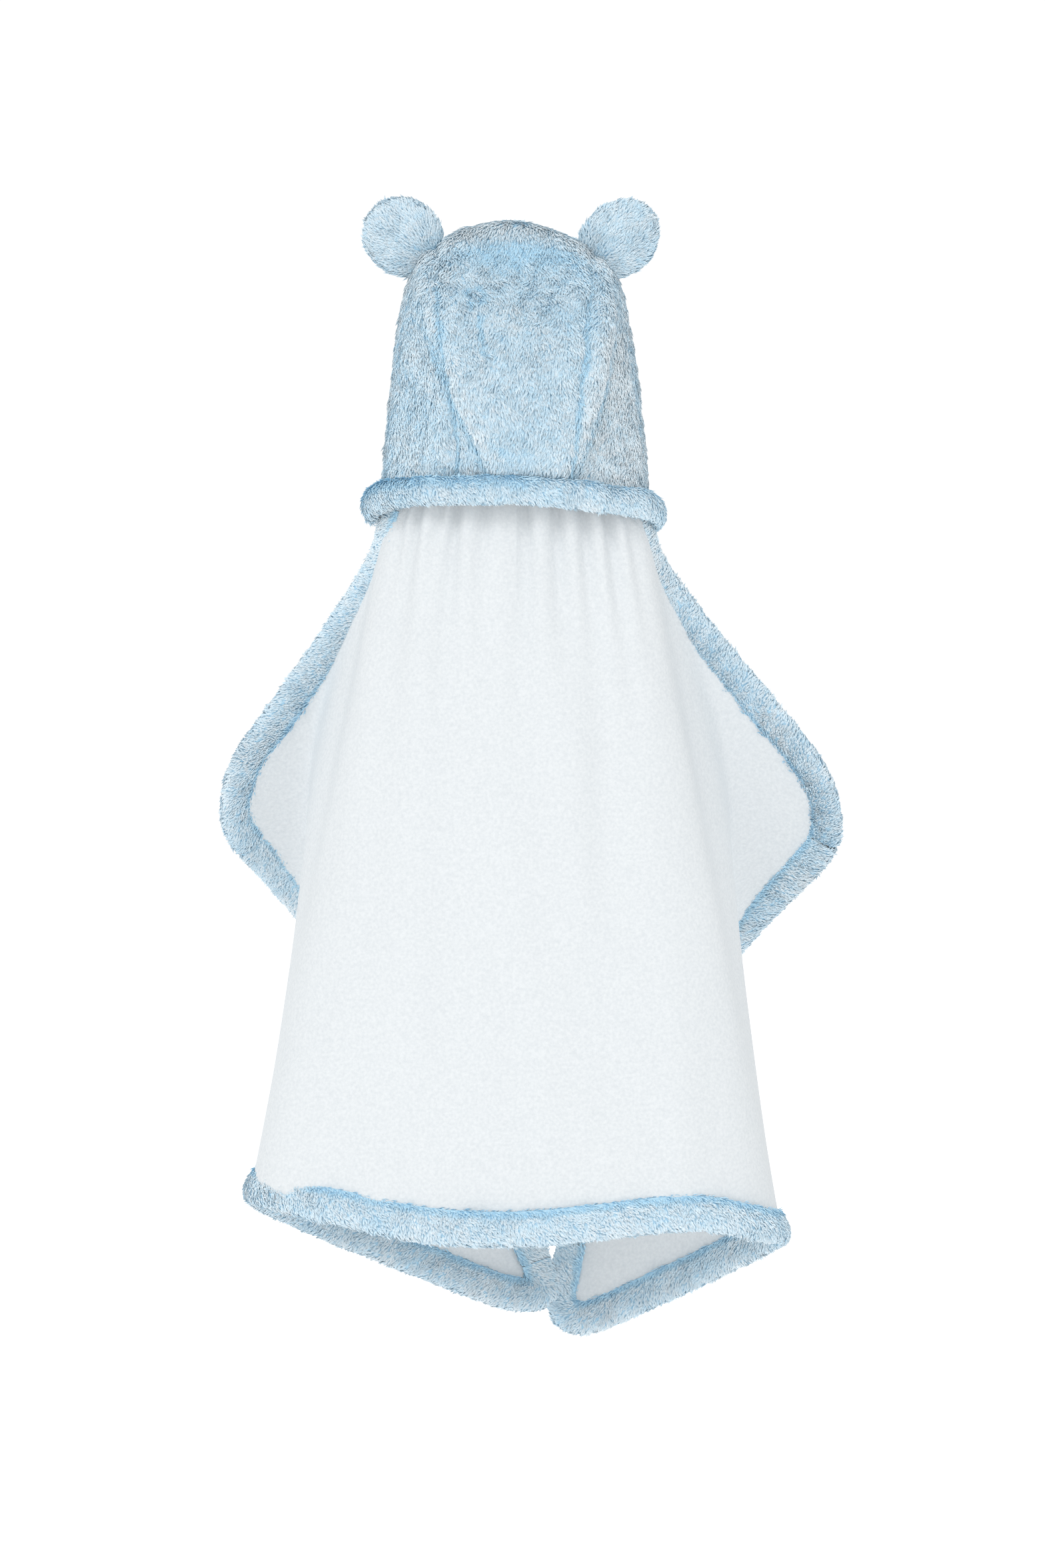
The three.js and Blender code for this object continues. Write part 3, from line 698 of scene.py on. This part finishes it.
# ---------------------------------------------------------------- the towel's edge binding
def edge_path(side):
    """Points on the towel's edge from the middle of the hem round the flap to the neck, with the way in and the
    normal at each, and where the strips are cut."""
    sign = -1 if side == "left" else 1
    s = sign * np.linspace(0, 1, 150) ** 0.9
    e = 0.004
    hem = back(s, 1.0)
    hem_in = unit(back(s, 1 - e) - hem)
    r = CORNER_R
    quarter = np.pi / 2 * r
    lengths = [FLAP_W - r, quarter, FLAP_L - 2 * r, quarter, FLAP_W - r]
    total = sum(lengths)
    d = np.arange(0.5, total - 8, 2.0)
    x, y, ix, iy = (np.zeros_like(d) for _ in range(4))
    a0, a1, a2, a3, _ = np.cumsum(lengths)
    m = d < a0
    x[m], y[m], ix[m], iy[m] = d[m], FLAP_L, 0, -1
    m = (d >= a0) & (d < a1)
    th = (d[m] - a0) / r
    x[m], y[m] = FLAP_W - r + r * np.sin(th), FLAP_L - r + r * np.cos(th)
    ix[m], iy[m] = -np.sin(th), -np.cos(th)
    m = (d >= a1) & (d < a2)
    x[m], y[m], ix[m], iy[m] = FLAP_W, FLAP_L - r - (d[m] - a1), -1, 0
    m = (d >= a2) & (d < a3)
    th = (d[m] - a2) / r
    x[m], y[m] = FLAP_W - r + r * np.cos(th), r - r * np.sin(th)
    ix[m], iy[m] = -np.cos(th), np.sin(th)
    m = d >= a3
    x[m], y[m], ix[m], iy[m] = FLAP_W - r - (d[m] - a3), 0, 0, 1
    p = flap(side, x / FLAP_W, y / FLAP_L)
    q = flap(side, (x + ix * 3) / FLAP_W, (y + iy * 3) / FLAP_L)
    way = unit(q - p)
    along = unit(np.gradient(p, axis=0))
    n = unit(np.cross(along, way))
    way = unit(np.cross(n, along))
    top = p[-1] + np.array([[-2 * sign, -3, 10], [-4 * sign, -5, 22]])
    edge = np.concatenate([hem, p, top])
    inward = np.concatenate([hem_in, way, way[-1:], way[-1:]])
    gap = np.r_[0, np.cumsum(np.linalg.norm(np.diff(edge, axis=0), axis=1))]
    at = np.arange(0, gap[-1], EDGE_STEP)
    edge, inward = (np.stack([np.interp(at, gap, g[:, k]) for k in range(3)], 1) for g in (edge, inward))
    edge = smooth_along(edge, 4.0, 0)
    inward = unit(smooth_along(unit(inward), 6.0, 0))
    along = unit(np.gradient(edge, axis=0))
    inward = unit(inward - along * np.sum(inward * along, -1, keepdims=True))
    normal = np.cross(along, inward)
    # The strips' ends, as distances along the path.
    at_fold = gap[150]
    scale = (gap[-3] - at_fold) / (total - 8)
    joins = [at_fold + scale * (lengths[0] + quarter + 6), at_fold + scale * (a3 - quarter * 0.85)]
    cut = [0] + [int(j / EDGE_STEP) for j in joins] + [len(edge)]
    return edge, inward, normal, cut


for side in ("left", "right"):
    edge, inward, normal, cut = edge_path(side)
    parts = (
        ("bottom", cut[0], cut[1], [f"binding_{side}_bottom"] + (["hem_binding"] if side == "left" else [])),
        ("side", cut[1], cut[2], [f"binding_{side}_side"]),
        ("top", cut[2], cut[3], [f"binding_{side}_top"]),
    )
    for k, (which, i0, i1, nodes) in enumerate(parts):
        body = None if which == "bottom" else f"flap_{side}"
        made = strip(
            f"binding_{side}_{which}",
            edge[i0:i1],
            inward[i0:i1],
            normal[i0:i1],
            BINDING_LEG,
            BINDING_HALF_THICK,
            nodes,
            100 + 10 * k,
            body,
            ends=which != "bottom",
            flow=-1 if side == "left" else 1,
        )
        if which == "bottom":
            for ob in made:
                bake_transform(ob)


# ---------------------------------------------------------------- the ears
# Each ear's root, its turn in degrees from upright, and half its height and width.
EARS = {
    "left": ([-68, 0, -28], -54, 29.5, 28.5),
    "right": ([65, 0, -32], 46, 30.5, 27.0),
}


def ear(side):
    root, turn, tall, wide = EARS[side]
    t = math.radians(turn)
    out = np.array([math.sin(t), 0, math.cos(t)])
    cross = np.array([math.cos(t), 0, -math.sin(t)])
    root = np.array(root, float)
    centre = root + 25.8 * out
    made = []
    for face, way_y in (("front", -1.0), ("back", 1.0)):
        phi = np.linspace(0, 2 * np.pi, 91)[:-1]
        rho = np.linspace(0.02, 1, 34)
        r, f = np.meshgrid(rho, phi, indexing="ij")
        # Towards its root the ear runs straight into the hood, hardly narrower.
        fat = np.where(np.sin(f) < 0, 0.62, 1.0)
        u = wide * np.sign(np.cos(f)) * np.abs(np.cos(f)) ** fat * r
        w = tall * np.sin(f) * r
        low = ease(-w, 6, tall)
        dome = (1 - r**2.6) ** 0.55
        lumps = noise(np.stack([u, w, 0 * u + way_y * 40], -1), 15, 81)
        h = 10.4 * dome * (1 - 0.2 * low) + 1.0 * lumps * dome
        h -= 1.5 * bump(np.hypot(u, w), 0, 9) * dome
        p = centre + u[..., None] * cross + w[..., None] * out + (h * way_y)[..., None] * np.array([0, 1.0, 0])
        n = normals(p)
        n = n * np.sign(np.sum(n * (p - centre), -1).mean())
        n[0] = [0, way_y, 0]
        skin = grid_object(f"ear_{side}_{face}_skin", p, BACKING, closed=True)
        away = unit(p - (root - 12 * out))

        def outside(q):
            return (q - root) @ out > -1.5

        seed = 140 + (side == "right") * 2 + (face == "back")
        fur = pile(
            f"ear_{side}_{face}_pile",
            p,
            n,
            away,
            0.95,
            TUFT,
            seed,
            length=EAR_PILE,
            lean=0.7,
            closed=True,
            keep=outside,
        )
        for ob in (skin, fur):
            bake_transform(ob)
        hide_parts(f"ear_{side}_{face}")
        made.append((skin, fur))
    return made


ears = {side: ear(side) for side in ("left", "right")}
for side in ("left", "right"):
    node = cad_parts[f"ear_{side}_wadding"]
    node.data.materials.clear()
    node.data.materials.append(WADDING)

# ---------------------------------------------------------------- stage
scene = bpy.context.scene
floor_z = -1.25
bpy.ops.mesh.primitive_plane_add(size=80, location=(0, 0, floor_z))
floor = bpy.context.object
floor.name = "floor"
m, nt, bsdf = new_material("floor_pale", 0.9, 0.0)
bsdf.inputs["Base Color"].default_value = (0.9, 0.9, 0.9, 1)
bsdf.inputs["Specular IOR Level"].default_value = 0.0
bsdf.inputs["Emission Color"].default_value = (1, 1, 1, 1)
bsdf.inputs["Emission Strength"].default_value = 0.3
floor.data.materials.append(m)

world = bpy.data.worlds.new("studio")
scene.world = world
world.use_nodes = True
wt = world.node_tree
wt.nodes.clear()
w_out = wt.nodes.new("ShaderNodeOutputWorld")
path = wt.nodes.new("ShaderNodeLightPath")
seen = wt.nodes.new("ShaderNodeBackground")
seen.inputs["Color"].default_value = (1, 1, 1, 1)
seen.inputs["Strength"].default_value = 1.05
lit = wt.nodes.new("ShaderNodeBackground")
lit.inputs["Color"].default_value = (0.965, 0.985, 0.99, 1)
lit.inputs["Strength"].default_value = 0.72
mixer = wt.nodes.new("ShaderNodeMixShader")
wt.links.new(path.outputs["Is Camera Ray"], mixer.inputs["Fac"])
wt.links.new(lit.outputs["Background"], mixer.inputs[1])
wt.links.new(seen.outputs["Background"], mixer.inputs[2])
wt.links.new(mixer.outputs["Shader"], w_out.inputs["Surface"])


def sun(name, strength, direction, angle, colour=(1, 1, 1)):
    data = bpy.data.lights.new(name, "SUN")
    data.energy = strength
    data.angle = math.radians(angle)
    data.color = colour
    ob = bpy.data.objects.new(name, data)
    scene.collection.objects.link(ob)
    from mathutils import Vector

    ob.rotation_euler = Vector(direction).to_track_quat("-Z", "Y").to_euler()
    return ob


sun("key", 0.75, (0.5, 1.0, -0.95), 28)
sun("fill", 0.22, (-0.8, 0.9, -0.35), 50)
sun("rear", 0.5, (0.2, -1.0, -0.7), 45)

camera = bpy.data.cameras.new("camera")
camera.sensor_fit = "VERTICAL"
camera.sensor_height = 36
camera.lens = 100
camera.clip_end = 200
cam = bpy.data.objects.new("camera", camera)
scene.collection.objects.link(cam)
cam.location = (0.0063, -3.443, -0.4458)
cam.rotation_euler = (math.pi / 2, 0, 0)
scene.camera = cam
scene.view_settings.view_transform = "Standard"
scene.view_settings.look = "None"
